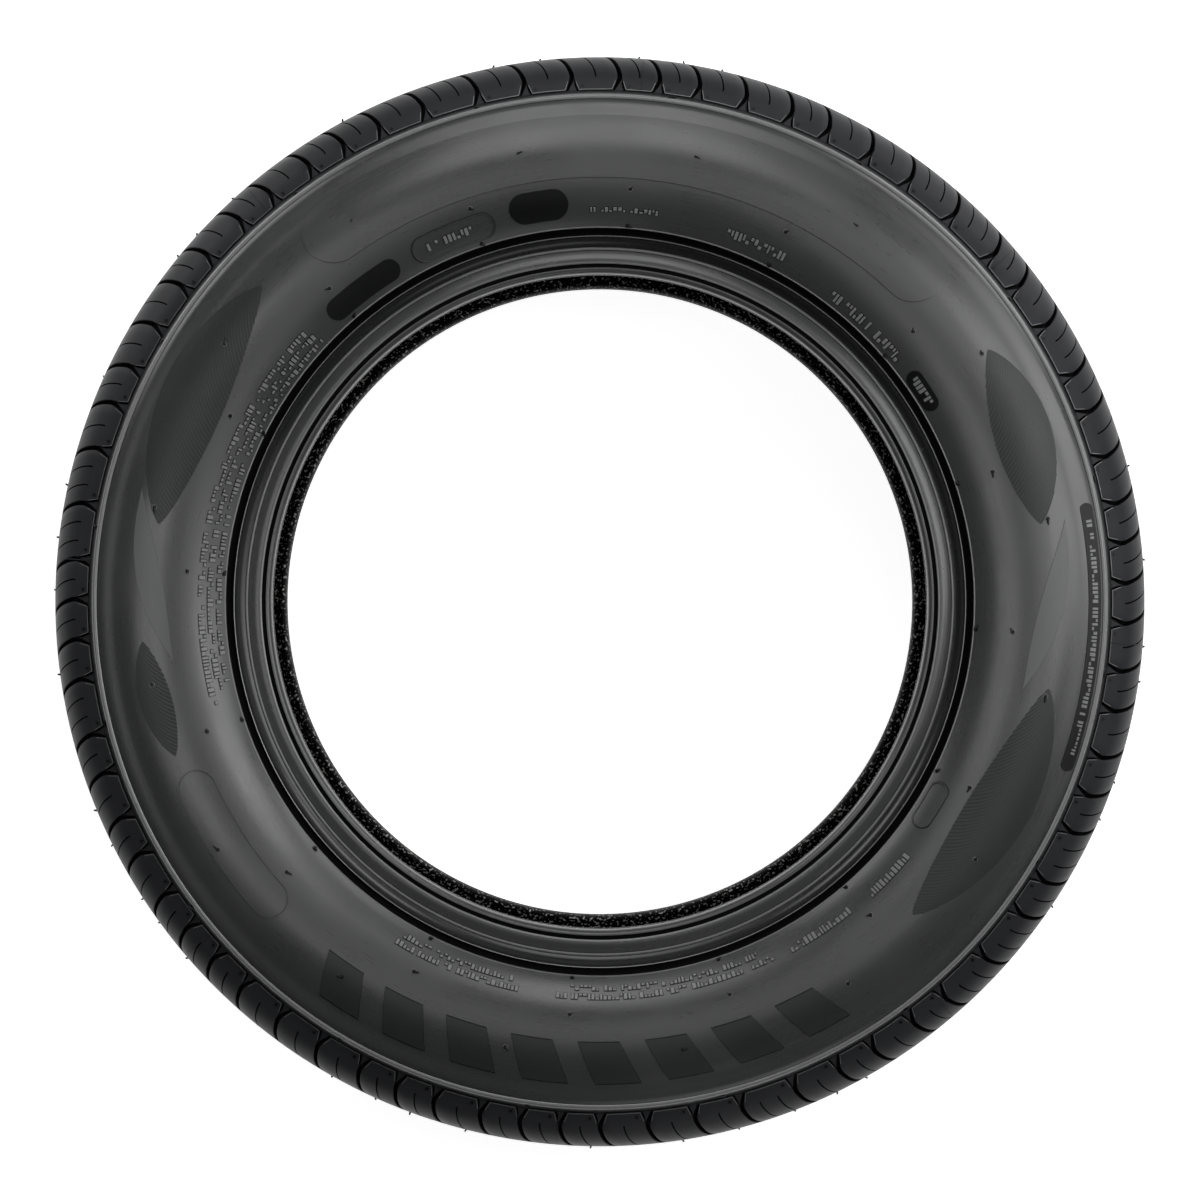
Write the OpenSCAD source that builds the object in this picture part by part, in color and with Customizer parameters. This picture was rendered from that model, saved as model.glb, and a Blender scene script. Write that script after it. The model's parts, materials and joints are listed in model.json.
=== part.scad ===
/* [Size] */
// Outer diameter at the middle of the tread
overall_d = 596; // [590:1:606]
// Width across the sidewalls at their widest
section_w = 189; // [185:1:195]
// Diameter of the bead seats that grip the rim
bead_d = 353.2; // [350:0.1:356]
// Width across the outer faces of the two beads
bead_w = 141; // [137:0.5:144]
// Width of each bead's base, from its outer face to its toe
bead_base_w = 19.5; // [18:0.5:22]

/* [Carcass] */
// Radius from the axle at which the sidewalls are widest
wall_mid_r = 236; // [232:1:240]
// Radius of the sidewalls' curve, seen in section
wall_arc = 56.5; // [54:0.5:60]
// Thickness of the sidewalls
wall_t = 7; // [5:0.5:9]
// Thickness from the tread's surface to the air chamber
crown_t = 16; // [14:0.5:18]

/* [Tread shape] */
// Radius of the crown, seen in section
crown_arc = 500; // [400:10:700]
// Width of the crown between the rounded shoulders
crown_w = 116; // [112:1:120]
// Radius of the rounded shoulders
shoulder_r = 25; // [23:0.5:27]
// Angle at which the shoulders end on the sidewalls
shoulder_end = 78; // [74:0.5:82]
// Depth of the four grooves that run round the tread
ring_groove_d = 7.5; // [5:0.5:8]
// Width of the two inner ring grooves
inner_groove_w = 9; // [7:0.5:11]
// Width of the two outer ring grooves
outer_groove_w = 8; // [6:0.5:10]
// Distance of the inner ring grooves from the middle
inner_groove_z = 17; // [14:0.5:19]
// Distance of the outer ring grooves from the middle
outer_groove_z = 46; // [42:0.5:48]

/* [Tread blocks] */
// Width of the grooves between the shoulder blocks
block_groove_w = 2.4; // [1.5:0.1:4]
// Depth of the grooves between the shoulder blocks
block_groove_d = 6; // [4:0.5:7]
// Width of the fine cuts in the shoulder blocks
sipe_w = 0.8; // [0.5:0.1:1.2]
// Depth of the fine cuts in the shoulder blocks
sipe_d = 3; // [2:0.5:5]
// Lean of the shoulder cuts away from the axle's direction
block_lean = 13; // [0:1:20]
// Width at the foot of the notch that opens each block groove on the sidewall
notch_w = 11; // [8:0.5:13]
// Width of the slots in the ribs beside the middle
slot_w = 2.2; // [1.5:0.1:3]
// Depth of those slots
slot_d = 5.5; // [3:0.5:6.5]
// Lean of those slots away from the axle's direction
slot_lean = 32; // [20:1:40]
// Length of the medium blocks, as a multiple of the short ones
medium_pitch = 1.19; // [1.05:0.01:1.3]
// Length of the long blocks, as a multiple of the short ones
long_pitch = 1.4; // [1.3:0.01:1.6]

/* [Sidewall lines] */
// Height of the step from the sidewall up to the block ends
block_step = 1.3; // [0.8:0.1:2]
// Distance of the raised line from the block ends
rib_inset = 5.5; // [4:0.5:8]
// Height of the raised line
rib_h = 0.8; // [0.4:0.1:1.5]
// Distance of the rim line from the bead seat
rim_line = 24; // [22:0.5:26]
// Rise of the rim line above the bead's outer face
rim_rise = 11.5; // [10:0.5:13]
// Depth of the groove inside the rim line
rim_groove_d = 4.4; // [3:0.1:5]
// Distance from the rim line to the foot of its groove's inner edge
rim_groove_w = 3.6; // [3:0.1:4.5]
// Radius of the hollow between the rim line and the bead's face
cove_r = 7.5; // [6:0.5:8]
// Thickness of the rubber behind the rim line
rim_wall_t = 9; // [7:0.5:11]

/* [Hidden] */
outer_r = overall_d / 2;
bead_r = bead_d / 2;
half_w = section_w / 2;
bead_z = bead_w / 2;
shoulder_z = crown_w / 2;
rim_line_r = bead_r + rim_line;
crown_c = [outer_r - crown_arc, 0];
shoulder_a = asin(shoulder_z / crown_arc);
shoulder_c = crown_c + (crown_arc - shoulder_r) * [cos(shoulder_a), sin(shoulder_a)];
wall_c = [wall_mid_r, half_w - wall_arc];
block_end = shoulder_c + shoulder_r * [cos(shoulder_end), sin(shoulder_end)];
foot = block_end - [0.3, block_step];
rib_r = block_end[0] - rib_inset;
rim_edge = [rim_line_r, bead_z + rim_rise];
// Where the leaning cuts cross the radial plane of their pitch
lean_z = block_end[1] - 3.5;

// Order of the short, medium and long blocks, a quarter turn a row, clockwise from the top
pitch_order = str(
  "SSMMSMMLLSMLSMMSSS",
  "MSMSSLSLLSMSMLMMM",
  "SSSMSSMMMSSSMSMSLSS",
  "SLLMSMMSMSMSSMLMMM"
);
pitch_count = len(pitch_order);
first_pitch = 2.15;
function weight(i) = pitch_order[i] == "L" ? long_pitch : pitch_order[i] == "M" ? medium_pitch : 1;
sums = [for (i = 0, s = 0; i <= pitch_count; s = s + (i < pitch_count ? weight(i) : 0), i = i + 1) s];
pitch_a = [for (s = sums) 90 - first_pitch - 360 * s / sums[pitch_count]];

function arc(c, radius, a0, a1, steps) =
  [for (i = [0:steps]) let (a = a0 + (a1 - a0) * i / steps) c + radius * [cos(a), sin(a)]];
function mirrored(points) = [for (i = [len(points) - 1:-1:0]) [points[i][0], -points[i][1]]];
// Point of the crown at a height
function crown_pt(z) = [crown_c[0] + sqrt(crown_arc * crown_arc - z * z), z];

// The sidewall is an arc about its widest point that runs out straight to the foot and the rim line
wall_sweep = 0.8;
// How far the arc reaches sideways before the straight run to an end leaves it
function wall_reach(end) = let (run = end - wall_c, lean = acos(min(1, wall_arc / norm(run))))
  max(0, min(wall_sweep, sin(atan2(abs(run[0]), run[1]) - lean)));
reach_in = wall_reach(rim_edge);
reach_out = wall_reach(foot);
wall_in = wall_c + wall_arc * [-reach_in, sqrt(1 - reach_in * reach_in)];
wall_out = wall_c + wall_arc * [reach_out, sqrt(1 - reach_out * reach_out)];
function between(a, b, r) = a + (b - a) * (r - a[0]) / (b[0] - a[0]);
function wall_base(r) =
  r < wall_in[0] ? between(rim_edge, wall_in, r) :
  r > wall_out[0] ? between(wall_out, foot, r) :
  [r, wall_c[1] + sqrt(wall_arc * wall_arc - pow(r - wall_c[0], 2))];
function wall_tilt(r) = max(-reach_in, min(reach_out, (r - wall_c[0]) / wall_arc));
function wall_pt(r, up = 0) = wall_base(r) + up * [wall_tilt(r), sqrt(1 - pow(wall_tilt(r), 2))];
// Points of the sidewall from one radius to another
function wall_run(from, to, steps, up = 0) = [for (i = [0:steps]) wall_pt(from + (to - from) * i / steps, up)];

function ring_groove(z, w) = [
  crown_pt(z - w / 2),
  crown_pt(z - w / 2 + 1) - [ring_groove_d, 0],
  crown_pt(z + w / 2 - 1) - [ring_groove_d, 0],
  crown_pt(z + w / 2)
];
tread_line = concat(
  [crown_pt(0)],
  ring_groove(inner_groove_z, inner_groove_w),
  [crown_pt((inner_groove_z + outer_groove_z) / 2)],
  ring_groove(outer_groove_z, outer_groove_w),
  arc(shoulder_c, shoulder_r, shoulder_a, shoulder_end, 5),
  [foot]
);
wall_line = concat(
  [wall_pt(rib_r + 2.5), wall_pt(rib_r + 0.8), wall_pt(rib_r + 0.4, rib_h), wall_pt(rib_r - 0.4, rib_h)],
  wall_run(rib_r - 0.8, rim_line_r + 0.8, 13),
  [rim_edge]
);
rim_groove = [
  rim_edge - [0.4, 1.9],
  rim_edge - [rim_groove_w - 0.4, rim_groove_d],
  rim_edge - [rim_groove_w, rim_groove_d - 1.4]
];
cove_foot = [rim_line_r - rim_groove_w - cove_r, bead_z + 0.9];
bead_line = concat(
  arc(cove_foot + [0, cove_r], cove_r, 0, -90, 4),
  [cove_foot + [-0.4, 0.5], cove_foot + [-0.8, -0.2], [bead_r + 8, bead_z + 0.5], [bead_r + 3.4, bead_z]],
  [[bead_r + 3.3, bead_z - 1.2], [bead_r + 2.8, bead_z - 1.3], [bead_r, bead_z - 4.5]],
  [[bead_r, bead_z - bead_base_w + 3], [bead_r + 1.9, bead_z - bead_base_w]]
);
liner = concat(
  [[bead_r + 13, bead_z - 10.5], rim_edge + [0.4, -rim_wall_t]],
  wall_run(rim_line_r + 1, rib_r - 0.6, 8, -wall_t),
  [[outer_r - crown_t - 8, shoulder_z + 9], [outer_r - crown_t - 2, shoulder_z - 8], [outer_r - crown_t, 0]]
);

// The moulded carcass with its ring grooves and ring lines, before the tread is cut
module carcass() {
  half = concat(tread_line, wall_line, rim_groove, bead_line, liner);
  rotate_extrude($fn = 180) polygon(concat(half, mirrored(half)));
}

// Side view of a cut across the shoulder, a depth below the tread
function shoulder_cut(depth, last_a, end) = concat(
  [[outer_r + 12, outer_groove_z], [crown_pt(outer_groove_z)[0] - depth, outer_groove_z]],
  arc(shoulder_c, shoulder_r - depth, shoulder_a, last_a, 3),
  [end, end + [0, 12], [outer_r + 12, end[1] + 12]]
);

// A thin cut with the given side view, leaning by an angle about a height
module cut(side, w, lean, z) {
  translate([0, 0, z]) rotate([90 + lean, 0, 0]) translate([0, -z, -w / 2]) linear_extrude(w) polygon(side);
}

module block_groove() {
  side = shoulder_cut(block_groove_d, 55, block_end + [1, -0.3]);
  cut(side, block_groove_w, block_lean, lean_z);
}

module sipe() {
  side = shoulder_cut(sipe_d, 58, shoulder_c + (shoulder_r + 0.5) * [cos(62), sin(62)]);
  cut(side, sipe_w, block_lean, lean_z);
}

// Wedge-shaped notch where a block groove opens on the sidewall
module notch() {
  reach = 10;
  translate([block_end[0], 0, block_end[1] - block_step + 0.3]) rotate([0, 31, 0])
    linear_extrude(8) polygon([[-1.2, notch_w / 2], [reach, 1.2], [reach, -1.2], [-1.2, -notch_w / 2]]);
}

// Slot that opens a rib towards the outer ring groove
module slot() {
  z0 = inner_groove_z + inner_groove_w / 2 + 5.5;
  floor_r = crown_pt(z0)[0] - slot_d;
  side = [[outer_r + 5, z0], [floor_r, z0 + 1], [floor_r, outer_groove_z], [outer_r + 5, outer_groove_z]];
  cut(side, slot_w, slot_lean, outer_groove_z);
}

// Cuts of one side of the tread, one set for each pitch
module tread_cuts() {
  for (i = [0:pitch_count - 1]) {
    span = pitch_a[i + 1] - pitch_a[i];
    sipes = pitch_order[i] == "L" ? 2 : 1;
    rotate([0, 0, pitch_a[i]]) {
      block_groove();
      notch();
      slot();
    }
    for (k = [1:sipes]) rotate([0, 0, pitch_a[i] + span * k / (sipes + 1)]) sipe();
  }
}

module tyre() color("#2b2c2e") difference() {
  carcass();
  tread_cuts();
  rotate([180, 0, 0]) tread_cuts();
}

tyre();
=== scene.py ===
"""A car tyre lying on its sidewall, with its moulded rubber surface built around the fixed CAD frame."""

import json
import math
import random

import bmesh
import bpy
import numpy as np
from bpy.props import FloatProperty, FloatVectorProperty, IntProperty, PointerProperty
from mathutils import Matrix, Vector


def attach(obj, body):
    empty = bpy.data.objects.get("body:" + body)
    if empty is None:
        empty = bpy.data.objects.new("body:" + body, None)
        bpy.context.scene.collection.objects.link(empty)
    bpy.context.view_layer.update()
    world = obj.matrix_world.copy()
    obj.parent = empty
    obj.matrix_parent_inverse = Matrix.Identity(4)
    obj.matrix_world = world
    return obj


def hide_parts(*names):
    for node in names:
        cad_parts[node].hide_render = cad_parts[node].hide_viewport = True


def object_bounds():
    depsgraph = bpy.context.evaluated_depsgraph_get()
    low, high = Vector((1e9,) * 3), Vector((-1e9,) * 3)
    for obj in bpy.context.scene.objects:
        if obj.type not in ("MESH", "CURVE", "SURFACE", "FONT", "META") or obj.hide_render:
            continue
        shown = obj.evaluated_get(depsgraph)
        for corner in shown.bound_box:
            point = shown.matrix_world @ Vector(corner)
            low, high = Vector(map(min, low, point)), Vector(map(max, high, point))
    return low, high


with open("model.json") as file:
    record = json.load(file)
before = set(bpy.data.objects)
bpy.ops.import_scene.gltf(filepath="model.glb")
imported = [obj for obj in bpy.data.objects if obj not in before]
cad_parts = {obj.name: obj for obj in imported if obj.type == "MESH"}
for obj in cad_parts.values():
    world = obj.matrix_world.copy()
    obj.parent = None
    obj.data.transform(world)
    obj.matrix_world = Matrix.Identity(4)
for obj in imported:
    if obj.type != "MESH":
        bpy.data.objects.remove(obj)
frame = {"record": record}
CAD_LOW, CAD_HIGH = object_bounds()

bl_info = {
    "name": "Car Tyre",
    "version": (1, 0, 0),
    "blender": (4, 5, 0),
    "location": "View3D > Sidebar > Tyre",
    "description": "Builds a moulded road tyre with its tread, sidewall relief and bead rings",
    "category": "Add Mesh",
}

MM = 0.001
BODY = "root"
OUTER_R = max(CAD_HIGH.x - CAD_LOW.x, CAD_HIGH.y - CAD_LOW.y) / 2
HALF_W = (CAD_HIGH.z - CAD_LOW.z) / 2
BEAD_R = frame["record"]["mounts"][0]["dims"]["r_mm"] * MM

# Short, medium and long blocks in order, a quarter turn a row, clockwise from the top
PITCH_ORDER = (
    "SSMMSMMLLSMLSMMSSS"
    "MSMSSLSLLSMSMLMMM"
    "SSSMSSMMMSSSMSMSLSS"
    "SLLMSMMSMSMSSMLMMM"
)
PITCH_WEIGHT = {"S": 1.0, "M": 1.19, "L": 1.4}
FIRST_PITCH = math.radians(2.15)

# Small dark plates: clock angles in degrees, inner and outer radius in mm
POLISHED_PLATES = (
    (316.5, 329.2, 204.0, 216.0),
    (346.9, 355.5, 205.5, 222.0),
    (53.5, 60.2, 201.8, 211.0),
    (78.5, 110.0, 261.0, 267.2),
)

# Rows of small marks: clock angles in degrees, radius and height in mm
MARK_ROWS = (
    (255.0, 312.0, 213.2, 3.2),
    (257.0, 313.0, 208.6, 3.0),
    (258.0, 313.0, 204.2, 2.6),
    (154.0, 186.0, 211.5, 3.0),
    (156.0, 185.0, 207.0, 2.8),
    (192.0, 211.0, 211.5, 3.0),
    (193.0, 210.0, 207.0, 2.8),
    (129.0, 137.0, 213.0, 4.0),
    (141.0, 151.0, 212.0, 4.0),
    (19.0, 30.0, 209.0, 4.2),
    (37.0, 51.0, 206.0, 4.6),
    (358.0, 369.0, 210.0, 2.4),
    (80.5, 108.0, 264.1, 2.6),
    (54.6, 59.0, 206.4, 4.0),
    (334.0, 341.0, 210.5, 4.0),
)

# Serrated fields: clock angles in degrees, middle radius and half width in mm, side they lean to
SERRATED_FIELDS = (
    (280.0, 313.0, 243.0, 18.0, 1),
    (250.0, 265.0, 243.0, 9.0, 0.5),
    (57.0, 80.0, 243.0, 16.0, -1),
    (101.0, 135.0, 240.0, 17.0, -1),
)

# The fields' lens shape: how far its middle drifts over its length, the power of its outline,
# the lean of the ribs in degrees, their width and the height of the plain ground under them
FIELD_DRIFT = 4 * MM
FIELD_POWER = 0.7
FIELD_LEAN = 5
FIELD_RIB_WIDTH = 1.35 * MM
FIELD_GROUND = 0.12 * MM

# Smooth crescents between them: clock angles in degrees and side
CRESCENTS = ((262.0, 284.0, 1), (80.0, 102.0, -1))
CRESCENT_RADIUS = 241 * MM
CRESCENT_DRIFT = 11 * MM
CRESCENT_HALF_WIDTH = 7 * MM
CRESCENT_HEIGHT = 0.35 * MM

# The long raised panel: clock angles in degrees, inner and outer radius in mm
LONG_PANEL = (-39.8, 47.5, 226.3, 260.5)
PANEL_BEVEL = 0.5 * MM
PLATE_BEVEL = 0.25 * MM
PLATE_HEIGHT = 0.3 * MM

# Fine raised outlines: clock angles in degrees, inner and outer radius and width in mm
OUTLINES = (
    (331.8, 344.3, 204.0, 217.0, 0.9),
    (118.0, 125.2, 203.0, 212.5, 1.0),
    (225.7, 247.5, 227.0, 247.0, 0.9),
)

# Dark lines just outside the first two outlines, painted shadow along their edges, given in the same
# way, and their height
PAINTED_SHADOW_OUTLINES = (
    (331.6, 344.5, 203.6, 217.4, 0.5),
    (117.8, 125.4, 202.6, 212.9, 0.5),
)
PAINTED_SHADOW_HEIGHT = 0.25 * MM

# The row of slanted plates: clock angles and lean in degrees, inner and outer radius, how many
# the row holds and the share of its place that each plate fills
SLANT_ROW = (150.0, 220.0)
SLANT_LEAN = -2.4
SLANT_BAND = (235 * MM, 258 * MM)
SLANT_COUNT = 8
SLANT_SHARE = 0.62
SLANT_HEIGHT = 0.5 * MM
SLANT_BEVEL = 0.4 * MM
# Width and height of the dark line round each slanted plate, painted shadow at its edge
SLANT_SHADOW_LINE = (0.6 * MM, 0.2 * MM)

# Small marks: their least and greatest width in mm, the gap between them, the margin of painted shadow
# round them, the share that is left out and the spans of the row's height that a mark may cover
MARK_WIDTHS = (1.0, 2.0)
MARK_GAP = 0.75 * MM
MARK_SHADOW_MARGIN = 0.35 * MM
MARKS_LEFT_OUT = 0.12
MARK_BEVEL = 0.12 * MM
MARK_SHADOW_HEIGHT = 0.1 * MM
MARK_SPANS = ((0, 1), (0, 1), (0, 0.4), (0.6, 1), (0.3, 1))

# Rings of vent pips: radius in mm and the first one's clock angle in degrees
PIP_RINGS = ((221.0, 4.2), (202.0, 4.2), (243.0, 12.0), (272.2, 8.4))
PIP_COUNT = 16
# Radii of the pip rings whose pips stand in a small pale ring, a painted highlight round the pip
RINGED = (221.0, 243.0)
RING_RADIUS = 1.3 * MM
RING_WIDTH = 0.5 * MM
RING_HEIGHT = 0.35 * MM

# The mould's joint lines: the first one's clock angle in degrees, their count, width and height
MOULD_LINE_FIRST = 49.6
MOULD_LINE_COUNT = 8
MOULD_LINE_WIDTH = 0.7 * MM
MOULD_LINE_HEIGHT = 0.25 * MM


def length_setting(name, description, size):
    """A length that the user may change; its default is given in millimetres."""
    return FloatProperty(name=name, description=description, default=size * MM, unit="LENGTH")


def angle_setting(name, description, degrees):
    """An angle that the user may change; its default is given in degrees."""
    default = math.radians(degrees)
    return FloatProperty(name=name, description=description, default=default, unit="ROTATION")


def colour_setting(name, description, default):
    """A colour that the user may change."""
    return FloatVectorProperty(
        name=name, description=description, default=default, subtype="COLOR"
    )


class TyreSizes(bpy.types.PropertyGroup):
    """Sizes of the tyre's section, tread and relief"""

    crown_arc: length_setting("Crown arc", "Radius of the crown, seen in section", 500)
    crown_width: length_setting(
        "Crown width", "Width of the crown between the rounded shoulders", 116
    )
    shoulder_radius: length_setting("Shoulder radius", "Radius of the rounded shoulders", 25)
    shoulder_end: angle_setting(
        "Shoulder end", "Angle at which the shoulders end on the sidewalls", 78
    )
    wall_mid_radius: length_setting(
        "Widest radius", "Radius from the axle at which the sidewalls are widest", 236
    )
    wall_arc: length_setting(
        "Sidewall arc", "Radius of the sidewalls' curve, seen in section", 56.5
    )
    wall_thickness: length_setting(
        "Sidewall thickness", "Rubber between the sidewall's surface and the air chamber", 7
    )
    crown_thickness: length_setting(
        "Crown thickness", "Rubber between the tread's surface and the air chamber", 16
    )
    bead_half_width: length_setting(
        "Bead half width", "Height of the beads' outer faces above the middle", 70.5
    )
    bead_base: length_setting(
        "Bead base", "Width of each bead's base, from its outer face to its toe", 19.5
    )
    ring_groove_depth: length_setting(
        "Ring groove depth", "Depth of the grooves that run round the tread", 7.5
    )
    block_groove_width: length_setting(
        "Block groove width", "Width of the grooves between the shoulder blocks", 2.4
    )
    block_groove_depth: length_setting(
        "Block groove depth", "Depth of the grooves between the shoulder blocks", 6
    )
    notch_flare: length_setting(
        "Notch flare", "Width at the foot of the shallow notch beside each block groove", 5.4
    )
    notch_reach: length_setting(
        "Notch reach", "Distance from a block's foot to where the notch beside it starts", 6.5
    )
    block_hook: length_setting(
        "Block groove hook", "How far the block grooves bend back at their foot", 2.8
    )
    sipe_width: length_setting("Sipe width", "Width of the fine cuts in the blocks", 0.8)
    sipe_depth: length_setting("Sipe depth", "Depth of the fine cuts in the blocks", 3)
    block_sweep: length_setting(
        "Block sweep",
        "How far the shoulder cuts sweep round the tyre from the sidewall to the crown",
        12.5,
    )
    slot_lean: angle_setting(
        "Slot lean", "Lean of the rib slots away from the axle's direction", 32
    )
    rib_inset: length_setting(
        "Raised line inset", "Distance of the raised line from the block ends", 5.5
    )
    rib_swell: length_setting(
        "Raised line swell", "Height by which the sidewall rises towards the raised line", 2.2
    )
    rim_line: length_setting("Rim line", "Distance of the rim line from the bead seat", 24)
    cove_radius: length_setting(
        "Cove radius", "Radius of the hollow between the rim line and the bead's face", 7.5
    )
    rim_shelf: length_setting(
        "Rim shelf", "Distance from the rim line to the outer edge of the hollow inside it", 4.5
    )
    cove_drop: length_setting(
        "Cove drop", "Depth of the hollow's floor below the bead's outer face", 1.7
    )
    panel_height: length_setting(
        "Panel height", "Height of the raised panels and plates on the sidewall", 0.7
    )
    mark_height: length_setting(
        "Mark height", "Height of the fine marks and lines on the sidewall", 0.65
    )
    tooth_spacing: angle_setting(
        "Serration spacing", "Angle between the fine ribs of the serrated fields", 0.58
    )
    serration_height: length_setting(
        "Serration height", "Height of the fine ribs of the serrated fields", 0.35
    )
    ring_steps: IntProperty(
        name="Ring steps",
        description="Number of segments round the carcass",
        default=360,
        min=72,
    )


class TyreColours(bpy.types.PropertyGroup):
    """Colours of the rubber and of the stage; some of the rubbers are painted highlight or painted shade
    """

    sidewall: colour_setting("Sidewall", "Satin rubber of the sidewalls", (0.046, 0.0471, 0.0473))
    # The beads' shine is in their roughness; their lighter colour is partly a painted highlight on the
    # bead faces
    bead: colour_setting(
        "Beads", "Smooth shiny rubber of the beads and the raised lines", (0.064, 0.065, 0.065)
    )
    # Light colour of the raised lines and block edges: a painted highlight on their crests
    rib: colour_setting(
        "Raised lines",
        "Brighter rubber of the raised ring lines and the small marks",
        (0.17, 0.172, 0.172),
    )
    tread: colour_setting("Tread", "Blue-grey rubber of the tread blocks", (0.028, 0.0286, 0.031))
    serrated: colour_setting(
        "Serrated fields",
        "Darker satin rubber of the serrated fields and slanted plates",
        (0.022, 0.023, 0.0235),
    )
    # The marks' pale colour is a painted highlight on their raised tops
    mark: colour_setting("Small marks", "Pale worn rubber of the small marks", (0.2, 0.202, 0.202))
    field: colour_setting(
        "Field grounds",
        "Darker rubber under the serrations and of the slanted plates",
        (0.026, 0.0272, 0.0276),
    )
    crescent: colour_setting(
        "Crescents", "Lighter rubber of the smooth crescents", (0.115, 0.117, 0.117)
    )
    # The coves' dark colour is painted shade in the hollow inside the rim line
    cove: colour_setting(
        "Coves", "Dark glossy rubber of the hollows inside the rim lines", (0.018, 0.0184, 0.0187)
    )
    polished: colour_setting(
        "Polished plates", "Smooth dark rubber of the small plates", (0.004, 0.0042, 0.0045)
    )
    # Near black: partly the liner's own black rubber, partly painted shade inside the tyre and in the
    # deep grooves
    liner: colour_setting(
        "Liner", "Black rubber of the air chamber and the deep grooves", (0.003, 0.003, 0.003)
    )
    floor: colour_setting("Floor", "Plain pale floor", (0.9, 0.9, 0.9))


def arc(centre, radius, start, end, steps):
    """Points along an arc in the section plane, angles in degrees."""
    turn = np.radians(np.linspace(start, end, steps + 1))
    return [(centre[0] + radius * math.cos(t), centre[1] + radius * math.sin(t)) for t in turn]


def clock(degrees):
    """Angle from +X of a place given in degrees clockwise from the top."""
    return np.radians(90.0 - np.asarray(degrees, float))


# Power that bends the sweep of the shoulder cuts and the opening of their notches
BEND = 1.1
# Height from which the shoulder blocks start on the crown
BLOCK_FROM = 50 * MM
# Height below the block ends at which the shoulder cuts start to sweep round
SWEEP_FOOT = 3.5 * MM
# Where the sidewall's swell starts inside the raised line and ends outside it, with its slopes
SWELL_INNER = 10.5 * MM
SWELL_RISE = 9.3 * MM
SWELL_OUTER = 4.6 * MM
SWELL_FALL = 3.8 * MM


class Section:
    """The tyre's half section: radius outwards, height along the axle."""

    def __init__(self, sizes):
        self.sizes = sizes
        self.shoulder_z = sizes.crown_width / 2
        self.crown_r = OUTER_R - sizes.crown_arc
        self.shoulder_start = math.asin(self.shoulder_z / sizes.crown_arc)
        reach = sizes.crown_arc - sizes.shoulder_radius
        self.shoulder_c = (
            self.crown_r + reach * math.cos(self.shoulder_start),
            reach * math.sin(self.shoulder_start),
        )
        self.wall_c = (sizes.wall_mid_radius, HALF_W - sizes.wall_arc)
        self.block_end = self.shoulder(sizes.shoulder_end)[0]
        self.rib_r = self.block_end[0] - sizes.rib_inset
        self.rim_line_r = BEAD_R + sizes.rim_line

    def crown(self, z, depth=0.0):
        """Point at a height on the crown and the outward normal there."""
        turn = math.asin(z / self.sizes.crown_arc)
        radius = self.sizes.crown_arc - depth
        point = (self.crown_r + radius * math.cos(turn), radius * math.sin(turn))
        return point, (math.cos(turn), math.sin(turn))

    def shoulder(self, turn, depth=0.0):
        """Point at an angle on the shoulder and the outward normal there."""
        radius = self.sizes.shoulder_radius - depth
        normal = (math.cos(turn), math.sin(turn))
        point = (self.shoulder_c[0] + radius * normal[0], self.shoulder_c[1] + radius * normal[1])
        return point, normal

    def notch(self, radius):
        """How far the notch at the foot of a block groove has opened at a radius, from 0 to 1."""
        share = (self.block_end[0] + self.sizes.notch_reach - radius) / self.sizes.notch_reach
        return np.clip(share, 0, 1) ** BEND

    def sweep(self, height):
        """How far a shoulder cut has swept round at a height above the middle."""
        foot = self.block_end[1] - SWEEP_FOOT
        share = max(0.0, (foot - height) / (foot - BLOCK_FROM))
        return self.sizes.block_sweep * share**BEND

    def swell(self, radius):
        """Height by which the sidewall rises towards the raised line, beyond its arc."""
        rise = np.clip((radius - self.rib_r + SWELL_INNER) / SWELL_RISE, 0, 1)
        fall = np.clip((self.rib_r + SWELL_OUTER - radius) / SWELL_FALL, 0, 1)
        return self.sizes.rib_swell * rise**2 * (3 - 2 * rise) * fall**2 * (3 - 2 * fall)

    def wall(self, radius, height=0.0):
        """Points on the sidewall at radii from the axle, raised along the normal."""
        radius = np.asarray(radius, float)
        turn = np.arccos((radius - self.wall_c[0]) / self.sizes.wall_arc)
        reach = self.sizes.wall_arc + self.swell(radius) + np.asarray(height, float)
        return self.wall_c[0] + reach * np.cos(turn), self.wall_c[1] + reach * np.sin(turn)

    def place(self, radius, degrees, height):
        """Points on the sidewall at radii and clock angles, raised along the normal."""
        out, up = self.wall(radius, height)
        return polar_grid(out, up, clock(degrees))


# Depth to which raised shapes are sunk in the surface that carries them
SINK = 0.3 * MM
# Angles in degrees from which edges stay sharp, on the tread, the plates and the fine lines
TREAD_SHARP = 28
RELIEF_SHARP = 25
FINE_SHARP = 40


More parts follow.
